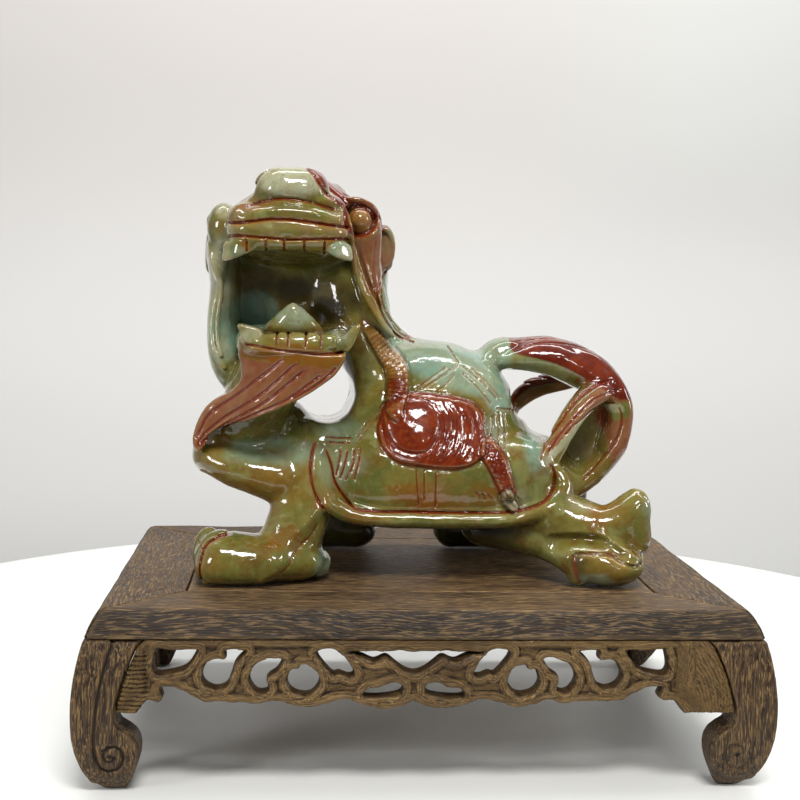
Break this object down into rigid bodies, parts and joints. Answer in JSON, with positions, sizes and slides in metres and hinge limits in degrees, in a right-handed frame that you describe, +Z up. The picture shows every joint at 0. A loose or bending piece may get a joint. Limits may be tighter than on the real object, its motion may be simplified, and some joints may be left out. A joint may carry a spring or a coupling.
{
  "type": "jade dragon turtle carving on a hardwood stand",
  "caption": "Polished jade carving of a dragon-headed turtle with an open mouth, curled beard and openwork tail, resting on a low hardwood stand with scroll feet and pierced carved aprons.",
  "frame": {"origin": "centre of the stand's footprint, on the surface that the four scroll feet stand on", "axes": "+X along the stand's long side, with the dragon's head on the -X half; -Y is the front, the side that the open mouth faces; +Z up"},
  "size_m": [0.2374, 0.1674, 0.2122],
  "materials": {
    "jade": "polished",
    "dark_wood": "satin",
    "apron_wood": "satin"
  },
  "bodies": {
    "root": {"jade_turtle": "jade", "stand_panel": "dark_wood", "stand_rail_front": "dark_wood", "stand_rail_back": "dark_wood", "stand_rail_left": "dark_wood", "stand_rail_right": "dark_wood", "stand_leg_front_left": "dark_wood", "stand_leg_front_right": "dark_wood", "stand_leg_back_left": "dark_wood", "stand_leg_back_right": "dark_wood", "stand_apron_front": "apron_wood", "stand_apron_back": "apron_wood", "stand_apron_left": "apron_wood", "stand_apron_right": "apron_wood"}
  },
  "joints": []
}
